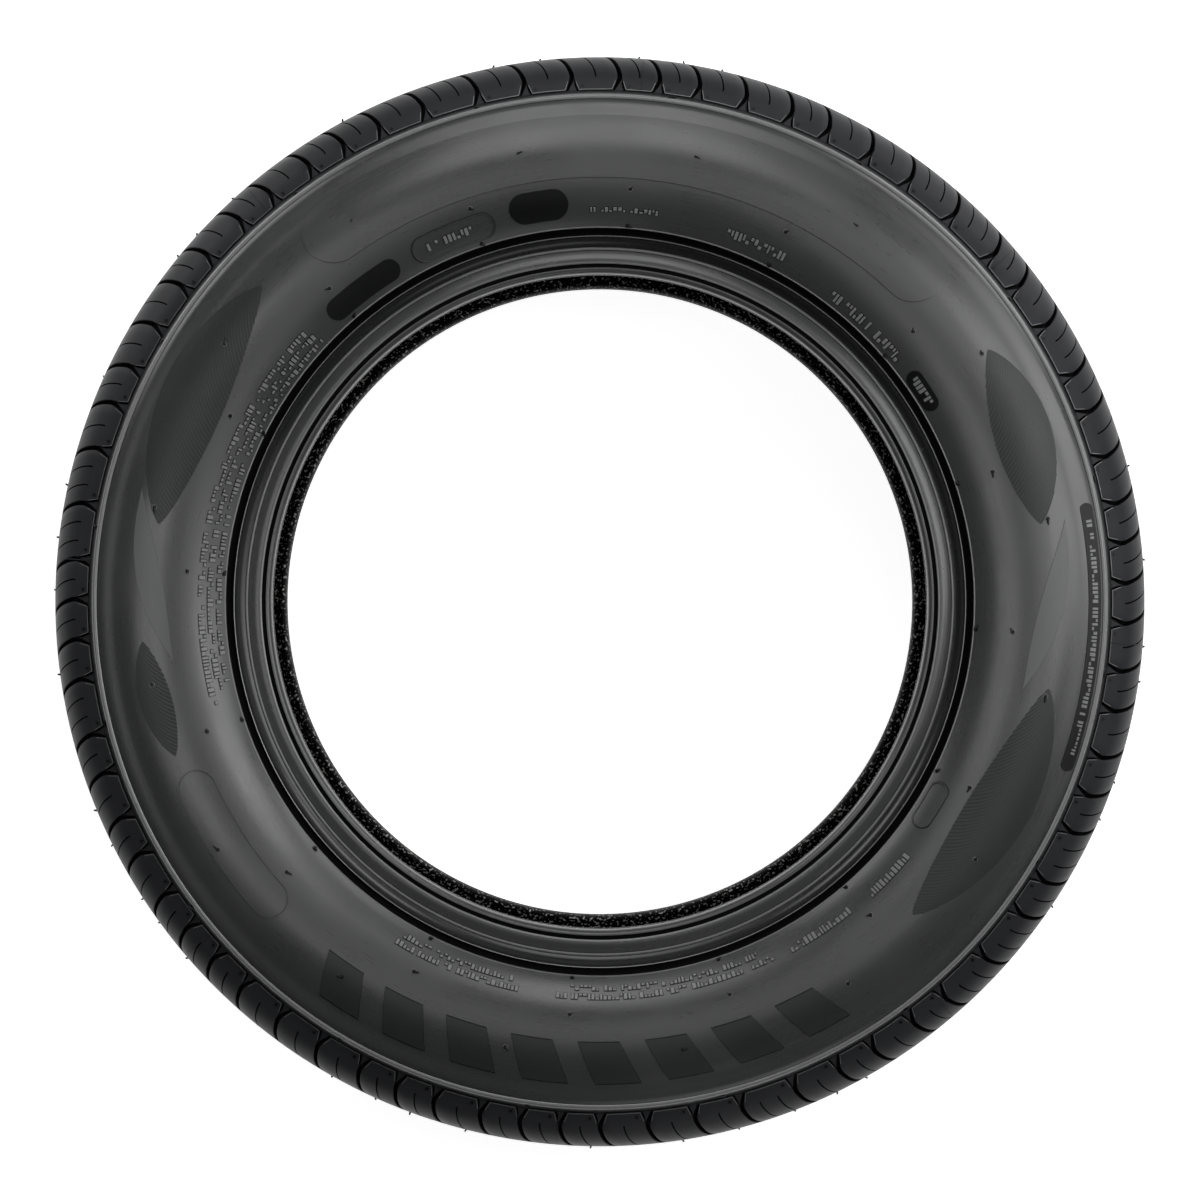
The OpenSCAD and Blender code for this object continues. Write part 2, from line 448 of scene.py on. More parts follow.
class Parts:
    """Collects the shapes that make up one piece."""

    def __init__(self):
        self.points = []
        self.faces = []
        self.count = 0

    def add(self, points, faces):
        """Adds a shape, given its points and its faces' indices."""
        points = np.asarray(points, float).reshape(-1, 3)
        self.points.append(points)
        self.faces.extend([tuple(index + self.count for index in face) for face in faces])
        self.count += len(points)

    def add_grid(self, grid, close_rows=False, close_columns=False, cap_columns=False):
        """Adds a sheet of quads from a rows by columns grid of points."""
        rows, columns = grid.shape[:2]
        faces = []
        for row in range(rows if close_rows else rows - 1):
            below = row * columns
            above = ((row + 1) % rows) * columns
            for column in range(columns if close_columns else columns - 1):
                after = (column + 1) % columns
                faces.append((below + column, below + after, above + after, above + column))
        if cap_columns:
            faces.append(tuple(row * columns for row in range(rows)))
            faces.append(tuple(row * columns + columns - 1 for row in reversed(range(rows))))
        self.add(grid, faces)

    def ridge(self, path, normals, width, height, closed=False):
        """Adds a fine raised line along a path on a surface with the given normals."""
        if closed:
            run = np.roll(path, -1, axis=0) - np.roll(path, 1, axis=0)
        else:
            run = np.gradient(path, axis=0)
        across = np.cross(run, normals)
        across /= np.linalg.norm(across, axis=1)[:, None]
        width = np.reshape(width, (-1, 1))
        height = np.reshape(height, (-1, 1))
        section = ((-1.0, -SINK), (-0.4, height), (0.4, height), (1.0, -SINK))
        rows = [path + across * side * width / 2 + normals * lift for side, lift in section]
        self.add_grid(np.array(rows), close_rows=True, close_columns=closed, cap_columns=not closed)

    def turned_over(self):
        """A copy turned half a turn about X, for the tyre's other side."""
        copy = Parts()
        copy.points = [points * (1, -1, -1) for points in self.points]
        copy.faces = list(self.faces)
        copy.count = self.count
        return copy

    def build(self, name, rubbers, sharp=35.0, finishes=None):
        """Makes the piece's object, smooth except at edges sharper than an angle."""
        mesh = bpy.data.meshes.new(name)
        mesh.from_pydata(np.concatenate(self.points).tolist(), [], self.faces)
        if finishes is not None:
            mesh.polygons.foreach_set("material_index", np.asarray(finishes, np.int32))
        mesh.validate()
        shape = bmesh.new()
        shape.from_mesh(mesh)
        bmesh.ops.recalc_face_normals(shape, faces=shape.faces)
        shape.to_mesh(mesh)
        shape.free()
        mesh.polygons.foreach_set("use_smooth", [True] * len(mesh.polygons))
        mesh.set_sharp_from_angle(angle=math.radians(sharp))
        for rubber in rubbers:
            mesh.materials.append(rubber_material(rubber))
        piece = bpy.data.objects.new(name, mesh)
        bpy.context.collection.objects.link(piece)
        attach(piece, BODY)
        return piece

    def build_both(self, outer, inner, rubbers, sharp, finishes=None):
        """Makes the piece and its copy on the tyre's other side."""
        self.build(outer, rubbers, sharp, finishes)
        self.turned_over().build(inner, rubbers, sharp, finishes)


def polar_grid(radius, height, angle):
    """Points from arrays of radius, height and angle that broadcast together."""
    radius, height, angle = np.broadcast_arrays(radius, height, angle)
    return np.stack((radius * np.cos(angle), radius * np.sin(angle), height), axis=-1)


# Finishes of the carcass and the rubber that each one is made of; the raised lines' light rubber is a
# painted highlight, and the cove's dark rubber and the black of the grooves are painted shade
FLOOR, WALL, RIB_PAINTED_HIGHLIGHT, SHINE, COVE_PAINTED_SHADE, DEEP_PAINTED_SHADE, LINER = range(7)
CARCASS_RUBBERS = ("tread", "sidewall", "rib", "bead", "cove", "deep_painted_shade", "liner")

# Carcass under the tread: heights on the crown, then places from the block ends, all in mm
CROWN_HEIGHTS = (0, 10, 20, 30, 40, 50)
TREAD_FOOT = ((1.0, -5.0), (0.2, -2.6), (-0.35, -1.3))

# Raised line: distance outwards from its radius and height over the wall in mm, and the finish; its
# crest takes the light rubber as a painted highlight and the thin black band inside it is painted shadow
LINE_PROFILE = (
    (3.6, 0.0, WALL),
    (2.4, 0.0, WALL),
    (1.5, 0.0, WALL),
    (1.15, 0.0, RIB_PAINTED_HIGHLIGHT),
    (0.95, 0.5, RIB_PAINTED_HIGHLIGHT),
    (0.5, 0.95, RIB_PAINTED_HIGHLIGHT),
    (-0.1, 1.05, RIB_PAINTED_HIGHLIGHT),
    (-0.65, 0.85, RIB_PAINTED_HIGHLIGHT),
    (-1.0, 0.35, RIB_PAINTED_HIGHLIGHT),
    (-1.2, -0.15, DEEP_PAINTED_SHADE),
    (-1.45, -0.15, WALL),
    (-3.0, 0.0, WALL),
)
# The wall between the raised line and the rim line: its rows and its distances from both
WALL_ROWS = 34
WALL_FROM = 4.2 * MM
WALL_TO = 0.6 * MM

# Rim line and its groove: place from the rim line in mm, out and up, and the finish; the lines' crests
# take the light rubber as a painted highlight and the groove is black painted shade
RIM_PROFILE = (
    (0.9, 0.1, WALL),
    (0.7, 0.35, RIB_PAINTED_HIGHLIGHT),
    (0.1, 0.4, RIB_PAINTED_HIGHLIGHT),
    (-0.15, 0.1, DEEP_PAINTED_SHADE),
    (-0.3, -0.5, DEEP_PAINTED_SHADE),
    (-0.45, -2.4, DEEP_PAINTED_SHADE),
    (-1.2, -3.9, DEEP_PAINTED_SHADE),
    (-2.9, -5.1, DEEP_PAINTED_SHADE),
    (-3.8, -4.8, DEEP_PAINTED_SHADE),
    (-3.95, -3.2, RIB_PAINTED_HIGHLIGHT),
    (-4.1, -2.75, RIB_PAINTED_HIGHLIGHT),
    (-4.5, -2.9, COVE_PAINTED_SHADE),
)

# Bead: place from the bead seat's radius and the outer face's height in mm, and the finish; the ridge
# lines take the light rubber as a painted highlight, the fine grooves black painted shade, and the shiny
# faces a lighter rubber that is partly a painted highlight
FACE_PROFILE = (
    (14.4, -1.2, RIB_PAINTED_HIGHLIGHT),
    (14.15, -0.7, RIB_PAINTED_HIGHLIGHT),
    (13.7, -0.45, RIB_PAINTED_HIGHLIGHT),
    (13.2, -0.5, RIB_PAINTED_HIGHLIGHT),
    (12.85, -0.95, DEEP_PAINTED_SHADE),
    (12.6, -1.15, SHINE),
    (10.8, -0.5, SHINE),
    (9.4, 0, SHINE),
    (8.2, 0.3, SHINE),
    (7.2, 0.4, SHINE),
    (6.5, 0.35, RIB_PAINTED_HIGHLIGHT),
    (5.9, 0.3, RIB_PAINTED_HIGHLIGHT),
    (5.5, 0.0, DEEP_PAINTED_SHADE),
    (5.35, -1.6, DEEP_PAINTED_SHADE),
    (3.5, -1.7, DEEP_PAINTED_SHADE),
    (3.3, -0.5, SHINE),
    (2.9, -0.4, SHINE),
    (2.1, -0.7, SHINE),
    (1.2, -1.4, SHINE),
    (0.5, -2.6, SHINE),
    (0.1, -3.8, SHINE),
    (0, -4.9, LINER),
)

# Bead's base and toe: place from the bead seat's radius and the toe's height in mm
TOE_PROFILE = ((0, 9), (0, 3.4), (0.4, 1.6), (1.1, 0.4), (2.2, 0))

# Air chamber: places from the bead's face, then from the corner of the crown's inner side, in mm
CHAMBER_FOOT = ((7.0, -15.5), (13.0, -10.5))
CHAMBER_CORNER = ((-8.0, 9.0), (-4.2, 0.0), (-2.0, -8.0))
# The chamber's top: how far it has dropped at a height above the middle
CHAMBER_DROP = 0.9 * MM
CHAMBER_DROP_AT = 25 * MM


def tread_line(section):
    """Carcass surface under the ribs and blocks, from the middle to the sidewall."""
    depth = section.sizes.ring_groove_depth
    points = [section.crown(z * MM, depth)[0] for z in CROWN_HEIGHTS]
    points += arc(section.shoulder_c, section.sizes.shoulder_radius - depth, 10, 62, 6)
    end_r, end_z = section.block_end
    points += [(end_r + out * MM, end_z + up * MM) for out, up in TREAD_FOOT]
    return [(*point, FLOOR) for point in points]


def wall_line(section):
    """Sidewall with its raised line, down to the rim line."""
    rib = section.rib_r
    points = []
    for outwards, height, finish in LINE_PROFILE:
        radius, level = section.wall(rib + outwards * MM, height * MM)
        points.append((float(radius), float(level), finish))
    radii = np.linspace(rib - WALL_FROM, section.rim_line_r + WALL_TO, WALL_ROWS)
    return points + [(*map(float, section.wall(radius)), WALL) for radius in radii]


def bead_line(section):
    """Rim line, its groove, the cove and the bead, down to the toe."""
    rim_r, rim_z = (float(value) for value in section.wall(section.rim_line_r))
    face_z = section.sizes.bead_half_width
    toe_z = face_z - section.sizes.bead_base
    cove = section.sizes.cove_radius
    points = [(rim_r + out * MM, rim_z + up * MM, finish) for out, up, finish in RIM_PROFILE]
    cove_c = (rim_r - section.sizes.rim_shelf - cove, face_z - section.sizes.cove_drop + cove)
    # The hollow takes the dark cove rubber, painted shade
    points += [(*point, COVE_PAINTED_SHADE) for point in arc(cove_c, cove, -10, -70, 8)]
    points += [(BEAD_R + out * MM, face_z + up * MM, finish) for out, up, finish in FACE_PROFILE]
    points += [(BEAD_R + out * MM, toe_z + up * MM, LINER) for out, up in TOE_PROFILE]
    return points


def liner_line(section):
    """Inside of the air chamber, from the toe to the middle of the crown."""
    sizes = section.sizes
    top_r = OUTER_R - sizes.crown_thickness
    face_z = sizes.bead_half_width
    points = [(BEAD_R + out * MM, face_z + up * MM) for out, up in CHAMBER_FOOT]
    points += arc(section.wall_c, sizes.wall_arc - sizes.wall_thickness, 135, 55, 16)
    points += [(top_r + out * MM, section.shoulder_z + up * MM) for out, up in CHAMBER_CORNER]
    points.append((top_r - CHAMBER_DROP, CHAMBER_DROP_AT))
    points.append((top_r, 0.0))
    return [(*point, LINER) for point in points]


class TYRE_OT_carcass(bpy.types.Operator):
    """Build the moulded carcass: both sidewalls, beads and the air chamber's liner"""

    bl_idname = "tyre.carcass"
    bl_label = "Carcass"

    def execute(self, context):
        section = Section(context.scene.tyre_sizes)
        half = tread_line(section) + wall_line(section) + bead_line(section) + liner_line(section)
        # On the other side a face takes the finish of the row that comes after it
        turned = list(zip(half[:-1], half[1:-1]))
        other = [(after[0], -after[1], before[2]) for before, after in reversed(turned)]
        profile = np.array([row[:2] for row in half + other])
        finishes = [row[2] for row in half + other]
        steps = context.scene.tyre_sizes.ring_steps
        turn = np.linspace(0, 2 * math.pi, steps, endpoint=False)
        grid = polar_grid(profile[:, :1], profile[:, 1:], turn[None, :])
        parts = Parts()
        parts.add_grid(grid, close_rows=True, close_columns=True)
        finishes = np.repeat(finishes, steps)
        carcass = parts.build("carcass", CARCASS_RUBBERS, finishes=finishes)
        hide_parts("tyre")
        return {"FINISHED"}


# What a column of the tread's grid follows: surface, chamfered edge, groove, sipe, flare, line
TOP, EDGE, GROOVE, SIPE, FLARE, LINE = range(6)
EDGE_DROP = 0.3 * MM
WALL_RUN = 0.12 * MM
# Depth from which a tread face takes the second rubber, black painted shade in the grooves
PAINTED_SHADE_FROM = 1.25 * MM
GROOVE_TAPER = 0.5
BLOCK_CHAMFER = 0.45 * MM
NOTCH_LINE = 0.9 * MM
TREAD_RUBBERS = ("tread", "deep_painted_shade")

# Shoulder blocks: heights on the crown in mm with the top's drop, angles on the shoulder in
# degrees, and the height and angle between which the sipes run
BLOCK_CROWN = ((50.0, EDGE_DROP), (50.5, 0.0), (54.0, 0.0), (57.9, 0.0))
BLOCK_TURNS = (12, 18, 24, 30, 36, 42, 47, 52, 57, 60, 60.8, 64, 68, 72, 75, 77.2, 78)
BLOCK_FOOT_DROP = 0.35 * MM
SIPE_FROM = 51
SIPE_TO = 60

# Depths at four angles on the shoulder, in mm: the block groove's after its full depth, the notch's
# beside it and those of the notch's outer line. The outer line is cut just deep enough to take the black
# painted shade; the notch stays shallower.
NOTCH_TURNS = (44, 57, 66, 78)
GROOVE_DEPTHS = (4.4, 3.2, 1.8)
NOTCH_DEPTHS = (0.3, 0.8, 1.2, 1.2)
LINE_DEPTHS = (0.3, 1.7, 1.7, 1.6)

# Fine ridge of light rubber along a block's lower corners, a painted highlight on its edge: angles on
# the shoulder in degrees, width and height
CORNER_TURNS = (66, 69, 72, 74.5, 76.5, 77.6)
CORNER_WIDTH = 0.55 * MM
CORNER_HEIGHT = 0.15 * MM
CORNER_INSET = 0.5 * MM

# Tread ribs: lowest and highest edge, the slots' ends and the height they lean about, in mm
SIDE_RIB = (21.5, 42.0, 27.0, 42.0)
SLOT_PIVOT = 46
MIDDLE_RIB = (-12.5, 12.5, 12.5, 12.5)
SLOT_DEPTH = 5.5 * MM
SLOT_HALF = 1.1 * MM
SLOT_CHAMFER = 0.3 * MM


class Columns:
    """Columns of a tread band, each with its angle, its offset at every row and its kind."""

    def __init__(self):
        self.angles = []
        self.offsets = []
        self.kinds = []

    def add(self, angle, offset, kind):
        """Adds a column; the offset may change from row to row."""
        self.angles.append(angle)
        self.offsets.append(offset)
        self.kinds.append(kind)

    def add_cut(self, angle, half, kind, chamfer):
        """Adds the columns of one cut, from its left lip to its right one."""
        lip = half + chamfer
        if chamfer:
            self.add(angle, lip, TOP)
        self.add(angle, half, EDGE if chamfer else TOP)
        self.add(angle, half - WALL_RUN, kind)
        self.add(angle, WALL_RUN - half, kind)
        self.add(angle, -half, EDGE if chamfer else TOP)
        if chamfer:
            self.add(angle, -lip, TOP)

    def add_flared_cut(self, angle, centre, half, flare, chamfer):
        """Adds the columns of a groove with a shallow flare on its clockwise side."""
        self.add(angle, centre + half + chamfer, TOP)
        self.add(angle, centre + half, EDGE)
        self.add(angle, centre + half - WALL_RUN, GROOVE)
        self.add(angle, centre - half + WALL_RUN, GROOVE)
        line = np.minimum(NOTCH_LINE, flare * 0.4)
        self.add(angle, centre - half, FLARE)
        self.add(angle, centre - half - flare + line, FLARE)
        self.add(angle, centre - half - flare + line / 2, LINE)
        self.add(angle, centre - half - flare - chamfer / 2, EDGE)
        self.add(angle, centre - half - flare - chamfer, TOP)


def pitches():
    """Start angle, end angle and letter of each tread pitch, clockwise from the top."""
    weights = [PITCH_WEIGHT[letter] for letter in PITCH_ORDER]
    ends = np.cumsum([0.0] + weights) / sum(weights) * 2 * math.pi
    starts = math.pi / 2 - FIRST_PITCH - ends
    return list(zip(starts[:-1], starts[1:], PITCH_ORDER))


def tread_band(parts, rows, under, columns, shift):
    """Adds a closed ring of tread rubber.

    Each row is a point, a normal and the depth of each kind of column there. The under
    rows close the ring inside the carcass. Returns the finish of each face: the black
    painted shade where the cut at one of its corners is deep enough.
    """
    points = np.array([row[0] for row in rows])
    normals = np.array([row[1] for row in rows])
    depths = np.array([row[2] for row in rows])[:, columns.kinds]
    offsets = np.stack([np.broadcast_to(offset, len(rows)) for offset in columns.offsets], axis=1)
    radius = points[:, :1] - normals[:, :1] * depths
    height = points[:, 1:] - normals[:, 1:] * depths
    lean = np.array([shift(point[1]) for point in points])[:, None]
    angle = np.array(columns.angles)[None, :] + (offsets + lean) / points[:, :1]
    under = np.array(under)
    nearest = [np.abs(points[:, 1] - point[1]).argmin() for point in under]
    top = polar_grid(radius, height, angle)
    bottom = polar_grid(under[:, :1], under[:, 1:], angle[nearest])
    grid = np.concatenate((top, bottom))[:, ::-1]
    parts.add_grid(grid, close_rows=True, close_columns=True)
    cut = np.vstack((depths, np.zeros((len(under), depths.shape[1]))))[:, ::-1]
    deepest = np.maximum(cut, np.roll(cut, -1, axis=0))
    deepest = np.maximum(deepest, np.roll(deepest, -1, axis=1))
    return (deepest > PAINTED_SHADE_FROM).ravel()


def shoulder_band(section):
    """The ring of shoulder blocks on the side that faces up."""
    sizes = section.sizes
    rows = []
    groove = sizes.block_groove_depth
    depths = [(groove / MM, *GROOVE_DEPTHS), NOTCH_DEPTHS, LINE_DEPTHS]
    sipe = sizes.sipe_depth
    for z, drop in BLOCK_CROWN:
        point, normal = section.crown(z * MM)
        cut = sipe if z > SIPE_FROM else drop
        edge = drop + EDGE_DROP
        rows.append((point, normal, (drop, edge, groove, cut, edge, edge)))
    for degrees in BLOCK_TURNS:
        point, normal = section.shoulder(math.radians(degrees))
        floor, flare, line = (float(np.interp(degrees, NOTCH_TURNS, row)) * MM for row in depths)
        drop = BLOCK_FOOT_DROP if degrees == BLOCK_TURNS[-1] else 0.0
        cut = sipe if degrees <= SIPE_TO else drop
        rows.append((point, normal, (drop, drop + 0.6 * EDGE_DROP, floor, cut, flare, line)))
    end_r, end_z = section.block_end
    body = 10 * MM
    side = 9.5 * MM
    edge_z = 49 * MM
    under = [
        (end_r - 0.35 * MM, end_z - 1.3 * MM),
        (end_r - 1.2 * MM, end_z - 5 * MM),
        section.shoulder(math.radians(55), body)[0],
        section.shoulder(math.radians(30), body)[0],
        section.crown(BLOCK_FROM, side)[0],
        section.crown(edge_z, side)[0],
        section.crown(edge_z, sizes.ring_groove_depth)[0],
    ]
    places = np.array([row[0] for row in rows])
    notch = section.notch(places[:, 0])
    half = sizes.block_groove_width / 2 * (1 - GROOVE_TAPER * notch)
    hook = sizes.block_hook * notch
    flare = sizes.notch_flare * notch
    columns = Columns()
    for start, end, letter in pitches():
        columns.add_flared_cut(start, hook, half, flare, BLOCK_CHAMFER)
        cuts = 2 if letter == "L" else 1
        marks = [start + (end - start) * k / (cuts + 1) for k in range(cuts + 2)]
        for before, mark in zip(marks, marks[1:]):
            columns.add((before + mark) / 2, 0.0, TOP)
            if mark != marks[-1]:
                columns.add_cut(mark, sizes.sipe_width / 2, SIPE, 0.0)
    parts = Parts()
    return parts, tread_band(parts, rows, under, columns, section.sweep)


def block_edge_highlights(section):
    """Fine ridges of light rubber along the feet and lower corners of the shoulder blocks, a painted
    highlight on their edges.
    """
    rising = np.radians(CORNER_TURNS)
    parts = Parts()
    for start, end, _ in pitches():
        left = [edge_point(section, turn, start, -1) for turn in rising]
        right = [edge_point(section, turn, end, 1) for turn in rising[::-1]]
        foot = np.linspace(left[-1][2], right[0][2], 10)[1:-1]
        path = left + [(*left[-1][:2], angle, rising[-1]) for angle in foot] + right
        radius, height, angle, turn = np.array(path).T
        normals = polar_grid(np.cos(turn), np.sin(turn), angle)
        parts.ridge(polar_grid(radius, height, angle), normals, CORNER_WIDTH, CORNER_HEIGHT)
    return parts


def edge_point(section, turn, groove, side):
    """Radius, height and angle of a block's corner beside a groove, and the turn it came from."""
    sizes = section.sizes
    radius, height = section.shoulder(turn)[0]
    notch = section.notch(radius)
    lip = sizes.block_groove_width / 2 * (1 - GROOVE_TAPER * notch) + CORNER_INSET
    if side < 0:
        lip += sizes.notch_flare * notch
    offset = side * lip + sizes.block_hook * notch + section.sweep(height)
    return radius, height, groove + float(offset) / radius, turn


def rib_band(section, low, high, cut_from, cut_to, lean, pivot):
    """A ring rib between two ring grooves, cut by a slot at each pitch."""
    sizes = section.sizes
    heights = [low, low + 0.5, cut_from - 0.4, cut_from, (cut_from + cut_to) / 2, cut_to, cut_to + 0.4]
    heights = sorted({round(z, 3) for z in heights + [high - 0.5, high] if low <= z <= high})
    rows = []
    for z in heights:
        point, normal = section.crown(z * MM)
        drop = EDGE_DROP if z in (low, high) else 0.0
        inside = cut_from <= z <= cut_to
        slot = SLOT_DEPTH if inside else drop
        edge = drop + (EDGE_DROP if inside else 0)
        rows.append((point, normal, (drop, edge, slot, slot, edge, edge)))
    depth = sizes.ring_groove_depth
    corners = ((high + 1, 0), (high + 1, 2), (low - 1, 2), (low - 1, 0))
    under = [section.crown(z * MM, depth + sunk * MM)[0] for z, sunk in corners]
    columns = Columns()
    for start, end, _ in pitches():
        columns.add_cut(start, SLOT_HALF, GROOVE, SLOT_CHAMFER)
        for share in (0.25, 0.5, 0.75):
            columns.add(start + (end - start) * share, 0.0, TOP)
    parts = Parts()
    return parts, tread_band(parts, rows, under, columns, lambda z: math.tan(lean) * (pivot * MM - z))


class TYRE_OT_shoulders(bpy.types.Operator):
    """Build the two rings of shoulder blocks, with their grooves, notches and sipes"""

    bl_idname = "tyre.shoulders"
    bl_label = "Shoulder blocks"

    def execute(self, context):
        section = Section(context.scene.tyre_sizes)
        blocks, finishes = shoulder_band(section)
        names = ("shoulder_blocks_outer", "shoulder_blocks_inner")
        blocks.build_both(*names, TREAD_RUBBERS, TREAD_SHARP, finishes)
        # Painted highlight: ridges of light rubber along the blocks' feet and corners
        edges = block_edge_highlights(section)
        edges.build_both("block_edge_highlights_outer", "block_edge_highlights_inner", ["rib"], FINE_SHARP)
        return {"FINISHED"}


class TYRE_OT_ribs(bpy.types.Operator):
    """Build the ring ribs across the middle of the tread"""

    bl_idname = "tyre.ribs"
    bl_label = "Tread ribs"

    def execute(self, context):
        sizes = context.scene.tyre_sizes
        section = Section(sizes)
        rib, finishes = rib_band(section, *SIDE_RIB, sizes.slot_lean, SLOT_PIVOT)
        names = ("tread_rib_outer", "tread_rib_inner")
        rib.build_both(*names, TREAD_RUBBERS, TREAD_SHARP, finishes)
        middle, finishes = rib_band(section, *MIDDLE_RIB, 0.0, 0)
        middle.build("tread_rib_middle", TREAD_RUBBERS, TREAD_SHARP, finishes)
        return {"FINISHED"}


def pill_edges(start, end, low, high):
    """Clock angles and the inner and outer edge of a round-ended plate."""
    middle = (low + high) / 2
    half = (high - low) / 2
    cap = math.degrees(half / middle)
    turn = np.linspace(0.03, math.pi / 2, 9)
    first = start + cap * (1 - np.cos(turn))
    last = end - cap * (1 - np.cos(turn[::-1]))
    steps = max(3, math.ceil((end - start - 2 * cap) / 1.5))
    body = np.linspace(first[-1], last[0], steps)[1:-1]
    reach = np.concatenate((np.sin(turn), np.ones(len(body)), np.sin(turn[::-1]))) * half
    return np.concatenate((first, body, last)), middle - reach, middle + reach


class Relief(Parts):
    """Raised shapes that follow the sidewall, placed by radius and clock angle."""

    def __init__(self, section):
        super().__init__()
        self.section = section

    def plate(self, degrees, low, high, height, lean=0.0, bevel=PLATE_BEVEL):
        """A plate between an inner and an outer edge; lean turns the outer edge on."""
        degrees, low, high = np.broadcast_arrays(degrees, low, high)
        bevel = np.minimum(bevel, (high - low) / 4)
        steps = math.ceil((high - low).max() / (4 * MM)) + 1
        shares = np.linspace(1, 0, max(steps, 2))[:, None]
        top = low + bevel + (high - low - 2 * bevel) * shares
        radius = np.vstack((high[None], top, low[None]))
        lift = np.full(radius.shape, height)
        lift[[0, -1]] = -SINK
        turned = degrees + lean * ((radius - low) / (high - low) - 0.5)
        grid = self.section.place(radius, turned, lift)
        self.add_grid(grid, close_rows=True, cap_columns=True)

    def pill(self, start, end, low, high, height, bevel=PLATE_BEVEL):
        """A round-ended plate."""
        self.plate(*pill_edges(start, end, low, high), height, bevel=bevel)

    def line(self, radii, degrees, width, height, closed=False):
        """A fine raised line along a path."""
        path = self.section.place(radii, degrees, 0.0)
        normals = self.section.place(radii, degrees, 1.0) - path
        self.ridge(path, normals, width, height, closed)

    def ring_outline(self, start, end, low, high, width, height):
        """A raised line round a round-ended field, with its radii and width in mm."""
        degrees, inner, outer = pill_edges(start, end, low * MM, high * MM)
        radii = np.concatenate((outer, inner[::-1]))
        turned = np.concatenate((degrees, degrees[::-1]))
        self.line(radii, turned, width * MM, height, closed=True)

    def slant_outline(self, stations, low, high, lean, width, height):
        """A raised line round a leaning plate, just outside its edge."""
        sides = np.linspace(0, 1, 9)[1:-1]
        first = stations[0]
        last = stations[-1]
        degrees = [stations + lean / 2, last + lean * (0.5 - sides)]
        degrees += [stations[::-1] - lean / 2, first - lean * (0.5 - sides)]
        ends = np.ones(len(stations))
        radii = [ends * high, high + (low - high) * sides, ends * low, low + (high - low) * sides]
        self.line(np.concatenate(radii), np.concatenate(degrees), width, height, closed=True)

    def ring(self, radius, degrees, size, width, height):
        """A small raised ring."""
        turn = np.linspace(0, 2 * math.pi, 12, endpoint=False)
        around = degrees + np.degrees(size * np.sin(turn) / radius)
        self.line(radius + size * np.cos(turn), around, width, height, closed=True)

    def serrations(self, start, end, middle, drift, reach, lean):
        """A lens-shaped field of fine parallel ribs; lean turns their outer ends on."""
        sizes = self.section.sizes
        spacing = math.degrees(sizes.tooth_spacing)
        shares = np.linspace(-1, 1, 81)
        for at in np.arange(start - abs(lean), end + abs(lean), spacing):
            radii = middle + reach * shares
            degrees = at + lean * shares * (1 + 0.25 * shares)
            along = np.clip((degrees - start) / (end - start), 0, 1)
            centre = middle + drift * (2 * along - 1)
            half = reach * np.sin(math.pi * along) ** FIELD_POWER
            inside = np.abs(radii - centre) < half
            if inside.sum() < 5:
                continue
            kept = np.linspace(radii[inside][0], radii[inside][-1], 9)
            turned = np.interp(kept, radii, degrees)
            fade = np.interp(kept, (middle - reach, middle + reach), (1.0, 0.3))
            self.line(kept, turned, FIELD_RIB_WIDTH * fade, sizes.serration_height * fade)

    def mark_row(self, shade, chance, start, end, radius, tall):
        """A row of small upright marks in mixed widths, where a real tyre has small print; each stands
        on a slightly larger dark plate, painted shadow round it.
        """
        height = self.section.sizes.mark_height
        at = start
        while at < end:
            width = math.degrees(chance.uniform(*MARK_WIDTHS) * MM / radius)
            low, high = chance.choice(MARK_SPANS)
            if chance.random() > MARKS_LEFT_OUT:
                low_r = radius + (low - 0.5) * tall
                high_r = radius + (high - 0.5) * tall
                self.plate([at, at + width], low_r, high_r, height, bevel=MARK_BEVEL)
                turned = math.degrees(MARK_SHADOW_MARGIN / radius)
                edges = [at - turned, at + width + turned]
                low_r -= MARK_SHADOW_MARGIN
                high_r += MARK_SHADOW_MARGIN
                # A dark plate just larger than the mark: painted shadow round it
                shade.plate(edges, low_r, high_r, MARK_SHADOW_HEIGHT, bevel=MARK_SHADOW_HEIGHT)
            at += width + math.degrees(MARK_GAP / radius)

    def pip(self, base, tip, base_radius, tip_radius):
        """A small round peg between two points, as a cut-off vent leaves."""
        axis = Vector(tip - base).normalized()
        across = axis.orthogonal()
        beside = axis.cross(across)
        turn = np.linspace(0, 2 * math.pi, 8, endpoint=False)[:, None]
        ring = np.cos(turn) * np.array(across) + np.sin(turn) * np.array(beside)
        grid = np.array((base + ring * base_radius, tip + ring * tip_radius))
        start = self.count
        self.add_grid(grid, close_columns=True)
        self.faces.append(tuple(range(start, start + 8)))
        self.faces.append(tuple(range(start + 15, start + 7, -1)))


